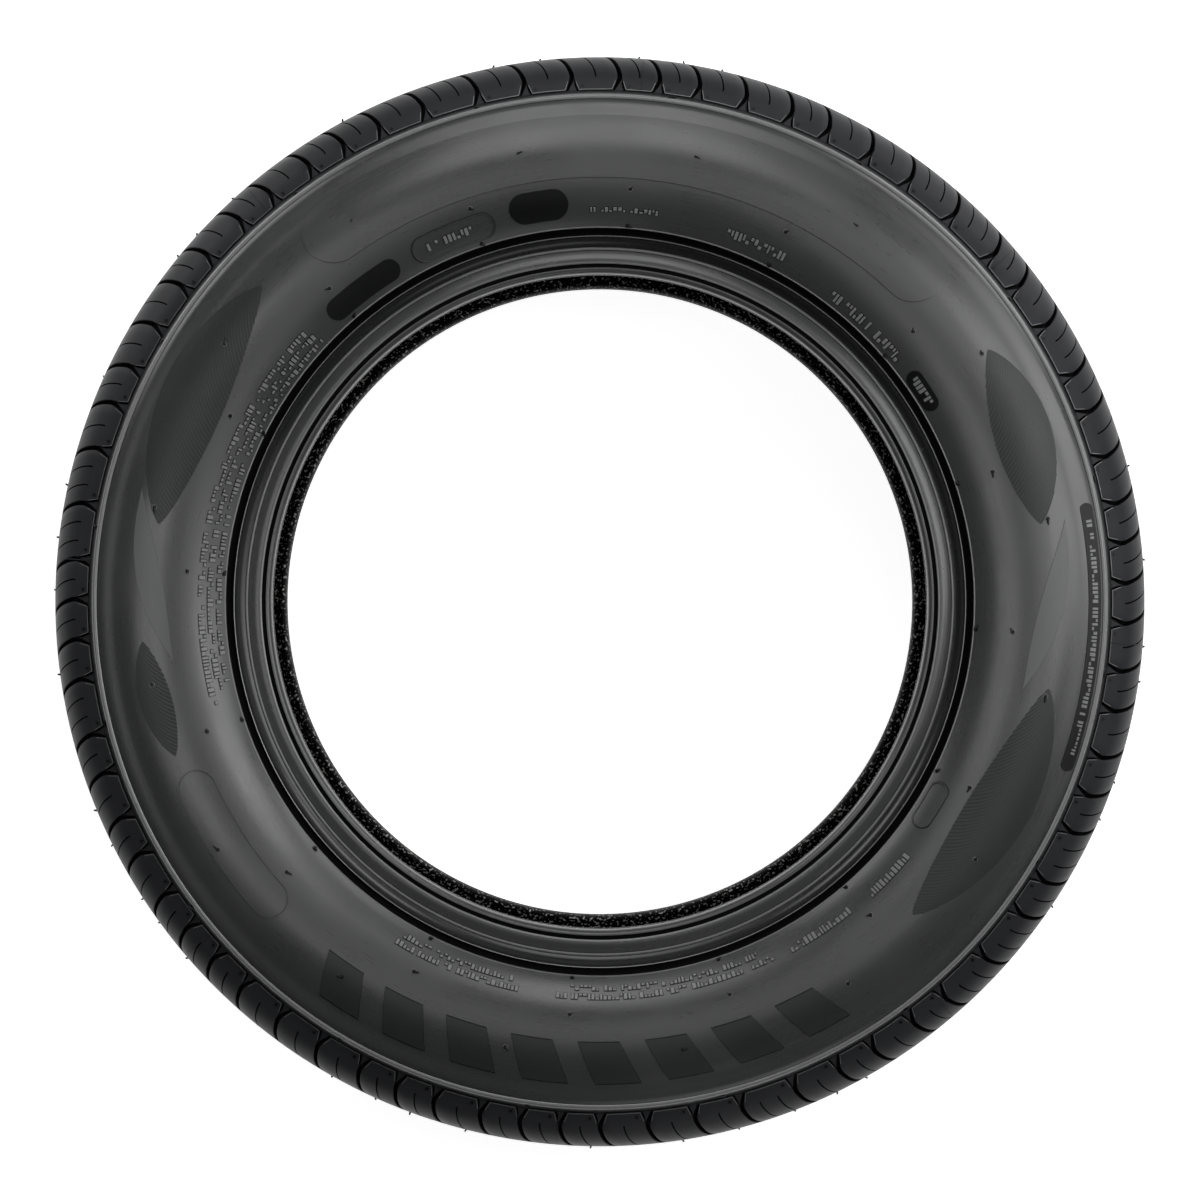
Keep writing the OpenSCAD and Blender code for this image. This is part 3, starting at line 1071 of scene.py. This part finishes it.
class TYRE_OT_panels(bpy.types.Operator):
    """Build the plain raised panels, outlines and slanted plates of the sidewall"""

    bl_idname = "tyre.panels"
    bl_label = "Sidewall panels"

    def execute(self, context):
        sizes = context.scene.tyre_sizes
        section = Section(sizes)
        panels = Relief(section)
        start, end, low, high = LONG_PANEL
        panels.pill(start, end, low * MM, high * MM, sizes.panel_height, bevel=PANEL_BEVEL)
        for row in OUTLINES:
            panels.ring_outline(*row, sizes.mark_height)
        panels.build("raised_panels", ["sidewall"], RELIEF_SHARP)
        plates = Relief(section)
        for start, end, low, high in POLISHED_PLATES:
            plates.pill(start, end, low * MM, high * MM, PLATE_HEIGHT)
        first, last = SLANT_ROW
        step = (last - first) / SLANT_COUNT
        starts = np.arange(first, last, step)
        rows = [np.linspace(at, at + SLANT_SHARE * step, 6) for at in starts]
        # Dark lines round the slanted plates: painted shadow at their edges
        for stations in rows:
            plates.slant_outline(stations, *SLANT_BAND, SLANT_LEAN, *SLANT_SHADOW_LINE)
        # Dark lines outside the outlines: painted shadow
        for row in PAINTED_SHADOW_OUTLINES:
            plates.ring_outline(*row, PAINTED_SHADOW_HEIGHT)
        plates.build("polished_plates", ["polished"], RELIEF_SHARP)
        slants = Relief(section)
        for stations in rows:
            slants.plate(stations, *SLANT_BAND, SLANT_HEIGHT, lean=SLANT_LEAN, bevel=SLANT_BEVEL)
        slants.build("slanted_plates", ["field"], RELIEF_SHARP)
        return {"FINISHED"}


class TYRE_OT_serrations(bpy.types.Operator):
    """Build the lens-shaped fields of fine ribs and the smooth crescents between them"""

    bl_idname = "tyre.serrations"
    bl_label = "Serrated fields"

    def execute(self, context):
        section = Section(context.scene.tyre_sizes)
        fields = Relief(section)
        grounds = Relief(section)
        share = np.linspace(0, 1, 40)
        for start, end, middle, reach, side in SERRATED_FIELDS:
            drift = side * FIELD_DRIFT
            fields.serrations(start, end, middle * MM, drift, reach * MM, side * FIELD_LEAN)
            centre = middle * MM + drift * (2 * share - 1)
            half = reach * MM * np.maximum(np.sin(math.pi * share), 0.01) ** FIELD_POWER
            degrees = start + (end - start) * share
            grounds.plate(degrees, centre - half, centre + half, FIELD_GROUND)
        grounds.build("field_grounds", ["field"], RELIEF_SHARP)
        fields.build("serrated_fields", ["serrated"], sharp=20)
        crescents = Relief(section)
        for start, end, side in CRESCENTS:
            middle = CRESCENT_RADIUS + side * CRESCENT_DRIFT * (2 * share - 1)
            reach = CRESCENT_HALF_WIDTH * np.maximum(np.sin(math.pi * share), 0.01)
            degrees = start + (end - start) * share
            crescents.plate(degrees, middle - reach, middle + reach, CRESCENT_HEIGHT)
        crescents.build("smooth_crescents", ["crescent"], RELIEF_SHARP)
        return {"FINISHED"}


class TYRE_OT_marks(bpy.types.Operator):
    """Build the rows of small marks, the vent pips and the mould's joint lines"""

    bl_idname = "tyre.marks"
    bl_label = "Marks and pips"

    def execute(self, context):
        section = Section(context.scene.tyre_sizes)
        chance = random.Random(5)
        marks = Relief(section)
        shade = Relief(section)
        for start, end, radius, tall in MARK_ROWS:
            marks.mark_row(shade, chance, start, end, radius * MM, tall * MM)
        # The marks' pale rubber is a painted highlight
        marks.build("small_marks", ["mark"], RELIEF_SHARP)
        # The dark plates round the marks are painted shadow
        shade.build("mark_painted_shadows", ["polished"], RELIEF_SHARP)
        pips = Relief(section)
        ring_highlights = Relief(section)
        for radius, first in PIP_RINGS:
            for index in range(PIP_COUNT):
                degrees = first + 360 / PIP_COUNT * index
                self.vent(pips, chance, radius * MM, degrees)
                # A pale ring round the pip: painted highlight
                if radius in RINGED:
                    ring_highlights.ring(radius * MM, degrees, RING_RADIUS, RING_WIDTH, RING_HEIGHT)
        ring_highlights.build("vent_ring_highlights", ["mark"], FINE_SHARP)
        self.block_pips(pips, section)
        self.crown_hairs(pips, section, chance)
        pips.build_both("vent_pips", "vent_pips_inner", ["polished"], FINE_SHARP)
        lines = mould_lines(section)
        lines.build_both("mould_lines", "mould_lines_inner", ["tread"], FINE_SHARP)
        return {"FINISHED"}

    def vent(self, pips, chance, radius, degrees):
        """A leaning rubber hair on the sidewall, cut off short."""
        along = chance.choice((-1, 1)) * chance.uniform(0.3, 0.8)
        outward = chance.uniform(-1.5, 1.5) * MM
        base = pips.section.place(radius, degrees, -SINK)
        dot = pips.section.place(radius, degrees, 0.6 * MM)
        tip = pips.section.place(radius + outward, degrees + along, 0.9 * MM)
        pips.pip(base, dot, 1.0 * MM, 0.8 * MM)
        pips.pip(dot, tip, 0.55 * MM, 0.2 * MM)

    def block_pips(self, pips, section):
        """A tiny round vent mark at the foot of each shoulder block."""
        turn = math.radians(72)
        base_r, base_z = section.shoulder(turn, SINK)[0]
        tip_r, tip_z = section.shoulder(turn, -0.35 * MM)[0]
        for start, _, _ in pitches():
            angle = start - math.radians(1.15)
            base = polar_grid(base_r, base_z, angle)
            pips.pip(base, polar_grid(tip_r, tip_z, angle), 0.8 * MM, 0.65 * MM)

    def crown_hairs(self, pips, section, chance):
        """Short rubber hairs that stand out from the edge of the crown."""
        for start, _, _ in pitches():
            if chance.random() < 0.5:
                angle = start - math.radians(chance.uniform(0.8, 2.4))
                height = chance.uniform(51, 55) * MM
                base = polar_grid(section.crown(height, SINK)[0][0], height, angle)
                tip_r = section.crown(height)[0][0] + chance.uniform(0.7, 1.5) * MM
                turned = angle + math.radians(chance.uniform(-0.2, 0.2))
                pips.pip(base, polar_grid(tip_r, height, turned), 0.45 * MM, 0.3 * MM)


def mould_lines(section):
    """Eight fine ridges where the mould's segments met, across the shoulder and the wall."""
    turns = np.radians(np.arange(12, 79, 6))
    radius, height = np.array([section.shoulder(turn)[0] for turn in turns]).T
    parts = Parts()
    for index in range(MOULD_LINE_COUNT):
        angle = clock(MOULD_LINE_FIRST + 360 / MOULD_LINE_COUNT * index)
        normals = polar_grid(np.cos(turns), np.sin(turns), angle)
        path = polar_grid(radius, height, angle)
        parts.ridge(path, normals, MOULD_LINE_WIDTH, MOULD_LINE_HEIGHT)
    return parts


# Noise scales of the rubber's patches, streaks and grain and of the liner's dust
PATCH_SCALE = 14
STREAK_SCALE = 420
GRAIN_SCALE = 1400
DUST_SCALE = 620
DUST_COLOR = (0.5, 0.5, 0.49, 1)


def new_group(name, inputs, outputs):
    """An empty shader node group with named sockets, given as (name, kind, default)."""
    group = bpy.data.node_groups.new(name, "ShaderNodeTree")
    for label, kind, default in inputs:
        socket = group.interface.new_socket(label, in_out="INPUT", socket_type=kind)
        if default is not None:
            socket.default_value = default
    for label, kind in outputs:
        group.interface.new_socket(label, in_out="OUTPUT", socket_type=kind)
    return group, group.nodes.new("NodeGroupInput"), group.nodes.new("NodeGroupOutput")


def add_group(tree, group):
    """A node that stands for a node group."""
    node = tree.nodes.new("ShaderNodeGroup")
    node.node_tree = group
    return node


def feed(tree, sockets, values):
    """Gives each socket its value, which is a constant or a socket to link."""
    for socket, value in zip(sockets, values):
        if isinstance(value, bpy.types.NodeSocket):
            tree.links.new(value, socket)
        else:
            socket.default_value = value


def math_node(tree, operation, *values):
    """A math node over numbers or sockets."""
    node = tree.nodes.new("ShaderNodeMath")
    node.operation = operation
    feed(tree, node.inputs, values)
    return node.outputs[0]


def mix_colors(tree, factor, first, second):
    """A mix of two colours."""
    node = tree.nodes.new("ShaderNodeMix")
    node.data_type = "RGBA"
    feed(tree, (node.inputs[0], node.inputs[6], node.inputs[7]), (factor, first, second))
    return node.outputs[2]


def noise_node(tree, vector, scale, detail, roughness):
    """A noise texture's value over a vector."""
    node = tree.nodes.new("ShaderNodeTexNoise")
    node.inputs["Scale"].default_value = scale
    node.inputs["Detail"].default_value = detail
    node.inputs["Roughness"].default_value = roughness
    tree.links.new(vector, node.inputs["Vector"])
    return node.outputs["Fac"]


def map_range(tree, value, low, high, to_low, to_high):
    """A value mapped from one range to another and clamped."""
    node = tree.nodes.new("ShaderNodeMapRange")
    tree.links.new(value, node.inputs["Value"])
    for label, number in zip(("From Min", "From Max", "To Min", "To Max"), (low, high, to_low, to_high)):
        node.inputs[label].default_value = number
    return node.outputs["Result"]


def ring_coordinates():
    """Group that gives the radius, the length round the ring and the height, as one vector."""
    name = "ring_coordinates"
    if name in bpy.data.node_groups:
        return bpy.data.node_groups[name]
    group, _, out = new_group(name, [], [("Vector", "NodeSocketVector")])
    place = group.nodes.new("ShaderNodeTexCoord")
    split = group.nodes.new("ShaderNodeSeparateXYZ")
    group.links.new(place.outputs["Object"], split.inputs[0])
    squares = [math_node(group, "MULTIPLY", split.outputs[axis], split.outputs[axis]) for axis in (0, 1)]
    radius = math_node(group, "SQRT", math_node(group, "ADD", *squares))
    turn = math_node(group, "ARCTAN2", split.outputs[1], split.outputs[0])
    join = group.nodes.new("ShaderNodeCombineXYZ")
    group.links.new(radius, join.inputs[0])
    group.links.new(math_node(group, "MULTIPLY", turn, 0.02), join.inputs[1])
    group.links.new(split.outputs[2], join.inputs[2])
    group.links.new(join.outputs[0], out.inputs[0])
    return group


def rubber_surface():
    """Group that gives the rubber's patchy colour, its roughness and its fine grain."""
    name = "rubber_surface"
    if name in bpy.data.node_groups:
        return bpy.data.node_groups[name]
    inputs = [
        ("Color", "NodeSocketColor", (0.05, 0.05, 0.05, 1)),
        ("Bloom", "NodeSocketColor", (0.1, 0.1, 0.1, 1)),
        ("Bloom Amount", "NodeSocketFloat", 0.2),
        ("Roughness", "NodeSocketFloat", 0.5),
        ("Streaks", "NodeSocketFloat", 0.1),
    ]
    outputs = [
        ("Color", "NodeSocketColor"),
        ("Roughness", "NodeSocketFloat"),
        ("Height", "NodeSocketFloat"),
    ]
    group, given, out = new_group(name, inputs, outputs)
    place = group.nodes.new("ShaderNodeTexCoord")
    ring = add_group(group, ring_coordinates())
    patches = noise_node(group, place.outputs["Object"], PATCH_SCALE, 5, 0.6)
    patches = map_range(group, patches, 0.42, 0.7, 0, 1)
    streaks = noise_node(group, ring.outputs[0], STREAK_SCALE, 3, 0.6)
    grain = noise_node(group, place.outputs["Object"], GRAIN_SCALE, 2, 0.5)
    lines = math_node(group, "SUBTRACT", streaks, 0.5)
    lines = math_node(group, "MULTIPLY", lines, given.outputs["Streaks"])
    amount = math_node(group, "MULTIPLY", patches, given.outputs["Bloom Amount"])
    amount = math_node(group, "ADD", amount, lines)
    color = mix_colors(group, amount, given.outputs["Color"], given.outputs["Bloom"])
    group.links.new(color, out.inputs["Color"])
    rough = math_node(group, "MULTIPLY", patches, 0.08)
    rough = math_node(group, "ADD", given.outputs["Roughness"], rough)
    rough = math_node(group, "ADD", rough, lines)
    group.links.new(rough, out.inputs["Roughness"])
    height = math_node(group, "ADD", grain, math_node(group, "MULTIPLY", streaks, 0.35))
    group.links.new(height, out.inputs["Height"])
    return group


def dust_specks():
    """Group that gives a mask of scattered pale specks."""
    name = "dust_specks"
    if name in bpy.data.node_groups:
        return bpy.data.node_groups[name]
    group, _, out = new_group(name, [], [("Mask", "NodeSocketFloat")])
    place = group.nodes.new("ShaderNodeTexCoord")
    specks = noise_node(group, place.outputs["Object"], DUST_SCALE, 1.5, 0.55)
    group.links.new(map_range(group, specks, 0.585, 0.65, 0, 1), out.inputs["Mask"])
    return group


# Each rubber: its colour setting, the pale bloom's colour and amount, roughness, streaks, the
# grain's strength and the specular level
RUBBERS = {
    "sidewall": ("sidewall", (0.075, 0.076, 0.076), 0.15, 0.27, 0.1, 0.2, 0.85),
    # Bead rubber: smooth and shiny, lighter than the sidewall partly as a painted highlight
    "bead": ("bead", (0.09, 0.09, 0.09), 0.2, 0.23, 0.12, 0.12, 0.7),
    # Light rubber of the raised lines and block edges: a painted highlight
    "rib": ("rib", (0.24, 0.24, 0.24), 0.15, 0.2, 0.1, 0.1, 0.8),
    "tread": ("tread", (0.045, 0.046, 0.05), 0.3, 0.4, 0.04, 0.3, 0.14),
    "serrated": ("serrated", (0.045, 0.047, 0.048), 0.15, 0.4, 0.05, 0.15, 0.35),
    # Pale rubber of the small marks and vent rings: a painted highlight
    "mark": ("mark", (0.3, 0.3, 0.3), 0.15, 0.3, 0.1, 0.1, 0.5),
    "field": ("field", (0.045, 0.047, 0.048), 0.15, 0.36, 0.08, 0.15, 0.45),
    "crescent": ("crescent", (0.11, 0.11, 0.11), 0.15, 0.34, 0.1, 0.15, 0.5),
    # Dark cove rubber: painted shade in the hollow inside the rim line
    "cove": ("cove", (0.025, 0.025, 0.025), 0.15, 0.24, 0.05, 0.1, 0.6),
    "polished": ("polished", (0.012, 0.012, 0.012), 0.15, 0.35, 0.03, 0.1, 0.3),
    # Black of the deep grooves and the rim groove: painted shade
    "deep_painted_shade": ("liner", (0.006, 0.006, 0.006), 0.1, 0.7, 0.02, 0.1, 0.05),
    # The liner: its own black rubber with dust, darkened further as painted shade
    "liner": ("liner", (0.01, 0.01, 0.01), 0.2, 0.6, 0.02, 0.3, 0.1),
}


def rubber_material(rubber):
    """The material of one of the rubbers, made when it is first asked for."""
    name = rubber + "_rubber"
    if name in bpy.data.materials:
        return bpy.data.materials[name]
    setting, bloom, amount, roughness, streaks, bump, specular = RUBBERS[rubber]
    color = getattr(bpy.context.scene.tyre_colours, setting)
    material = bpy.data.materials.new(name)
    material.use_nodes = True
    tree = material.node_tree
    shader = tree.nodes["Principled BSDF"]
    surface = add_group(tree, rubber_surface())
    surface.inputs["Color"].default_value = (*color, 1)
    surface.inputs["Bloom"].default_value = (*bloom, 1)
    surface.inputs["Bloom Amount"].default_value = amount
    surface.inputs["Roughness"].default_value = roughness
    surface.inputs["Streaks"].default_value = streaks
    shade = surface.outputs["Color"]
    if rubber == "liner":
        specks = add_group(tree, dust_specks())
        shade = mix_colors(tree, specks.outputs["Mask"], shade, DUST_COLOR)
    tree.links.new(shade, shader.inputs["Base Color"])
    tree.links.new(surface.outputs["Roughness"], shader.inputs["Roughness"])
    grain = tree.nodes.new("ShaderNodeBump")
    grain.inputs["Strength"].default_value = bump
    grain.inputs["Distance"].default_value = 0.1 * MM
    tree.links.new(surface.outputs["Height"], grain.inputs["Height"])
    tree.links.new(grain.outputs["Normal"], shader.inputs["Normal"])
    shader.inputs["Specular IOR Level"].default_value = specular
    return material


class TYRE_OT_stage(bpy.types.Operator):
    """Set the pale floor, the soft lamps and the camera over the tyre"""

    bl_idname = "tyre.stage"
    bl_label = "Stage"

    def execute(self, context):
        add_floor(context.scene.tyre_colours.floor)
        add_lamps()
        add_camera(context.scene)
        context.scene.view_settings.view_transform = "Standard"
        return {"FINISHED"}


FLOOR_RADIUS = 12.0
FLOOR_GLOW = 0.86
# How far the vent pips stand out of the lower sidewall, which the floor stays clear of
PIP_REACH = 0.95 * MM


def add_floor(color):
    """A round floor under the tyre that shows white to the camera and keeps the shadow."""
    turn = np.linspace(0, 2 * math.pi, 96, endpoint=False)
    points = polar_grid(FLOOR_RADIUS, -HALF_W - PIP_REACH, turn).tolist()
    mesh = bpy.data.meshes.new("floor")
    mesh.from_pydata(points, [], [tuple(range(len(points)))])
    material = bpy.data.materials.new("pale_floor")
    material.use_nodes = True
    tree = material.node_tree
    shader = tree.nodes["Principled BSDF"]
    shader.inputs["Base Color"].default_value = (*color, 1)
    shader.inputs["Roughness"].default_value = 0.9
    shader.inputs["Specular IOR Level"].default_value = 0.0
    path = tree.nodes.new("ShaderNodeLightPath")
    seen = math_node(tree, "MAXIMUM", path.outputs["Is Camera Ray"], path.outputs["Is Glossy Ray"])
    seen = math_node(tree, "MAXIMUM", seen, path.outputs["Is Transmission Ray"])
    shader.inputs["Emission Color"].default_value = (1, 1, 1, 1)
    glow = math_node(tree, "MULTIPLY", seen, FLOOR_GLOW)
    tree.links.new(glow, shader.inputs["Emission Strength"])
    mesh.materials.append(material)
    floor = bpy.data.objects.new("floor", mesh)
    bpy.context.collection.objects.link(floor)


# Lamps round the tyre: bearing from +X and elevation in degrees, power in watts
LAMPS = (
    ("low_top_right", 45, 12, 5.0),
    ("low_top_left", 138, 12, 4.6),
    ("low_bottom", 285, 12, 1.3),
    ("side_right", 0, 28, 1.9),
    ("side_top", 90, 46, 3.7),
    ("side_top_right", 20, 48, 4.6),
    ("high_left", 180, 66, 2.3),
    ("high_right", 5, 66, 1.6),
)
LAMP_DISTANCE = 1.4
LAMP_SIZE = 0.7
OVERHEAD_HEIGHT = 3.2
OVERHEAD_SIZE = 1.5
OVERHEAD_POWER = 3.3
WORLD_STRENGTH = 0.015


def add_lamp(name, place, size, power):
    """A square area lamp that faces the tyre's centre."""
    data = bpy.data.lights.new(name, "AREA")
    data.shape = "SQUARE"
    data.size = size
    data.energy = power
    lamp = bpy.data.objects.new(name, data)
    lamp.location = place
    lamp.rotation_euler = (-Vector(place)).to_track_quat("-Z", "Y").to_euler()
    bpy.context.collection.objects.link(lamp)


def add_lamps():
    """Low lamps past the upper corners of the picture, weaker high ones and a dim world."""
    for name, bearing, elevation, power in LAMPS:
        turn = math.radians(bearing)
        rise = math.radians(elevation)
        out = LAMP_DISTANCE * math.cos(rise)
        height = LAMP_DISTANCE * math.sin(rise) + HALF_W
        place = (out * math.cos(turn), out * math.sin(turn), height)
        add_lamp(name, place, LAMP_SIZE, power)
    add_lamp("overhead", (0, 0, OVERHEAD_HEIGHT), OVERHEAD_SIZE, OVERHEAD_POWER)
    world = bpy.data.worlds.new("studio")
    bpy.context.scene.world = world
    world.use_nodes = True
    world.node_tree.nodes["Background"].inputs["Color"].default_value = (1, 1, 1, 1)
    world.node_tree.nodes["Background"].inputs["Strength"].default_value = WORLD_STRENGTH


def add_camera(scene):
    """The camera on the tyre's axis, as in the photograph."""
    distance = 2.758
    focal_px = 4992
    frame_px = 1200
    shift_px = (-0.4, 1.7)
    data = bpy.data.cameras.new("camera")
    data.sensor_width = 36
    data.lens = focal_px / frame_px * data.sensor_width
    camera = bpy.data.objects.new("camera", data)
    camera.location = (0, 0, distance)
    data.shift_x = shift_px[0] / frame_px
    data.shift_y = shift_px[1] / frame_px
    bpy.context.collection.objects.link(camera)
    scene.camera = camera


class TYRE_PT_panel(bpy.types.Panel):
    """Sizes, colours and building steps of the tyre"""

    bl_idname = "TYRE_PT_panel"
    bl_label = "Car Tyre"
    bl_space_type = "VIEW_3D"
    bl_region_type = "UI"
    bl_category = "Tyre"

    def draw(self, context):
        for group in (context.scene.tyre_sizes, context.scene.tyre_colours):
            for name in group.bl_rna.properties.keys():
                if name not in ("rna_type", "name"):
                    self.layout.prop(group, name)
        for operator in OPERATORS:
            self.layout.operator(operator.bl_idname)


OPERATORS = (
    TYRE_OT_carcass,
    TYRE_OT_shoulders,
    TYRE_OT_ribs,
    TYRE_OT_panels,
    TYRE_OT_serrations,
    TYRE_OT_marks,
    TYRE_OT_stage,
)
CLASSES = (TyreSizes, TyreColours, *OPERATORS, TYRE_PT_panel)


def register():
    for item in CLASSES:
        bpy.utils.register_class(item)
    bpy.types.Scene.tyre_sizes = PointerProperty(type=TyreSizes)
    bpy.types.Scene.tyre_colours = PointerProperty(type=TyreColours)


def unregister():
    del bpy.types.Scene.tyre_colours
    del bpy.types.Scene.tyre_sizes
    for item in reversed(CLASSES):
        bpy.utils.unregister_class(item)


def main():
    register()
    bpy.ops.tyre.carcass()
    bpy.ops.tyre.shoulders()
    bpy.ops.tyre.ribs()
    bpy.ops.tyre.panels()
    bpy.ops.tyre.serrations()
    bpy.ops.tyre.marks()
    bpy.ops.tyre.stage()


if __name__ == "__main__":
    main()
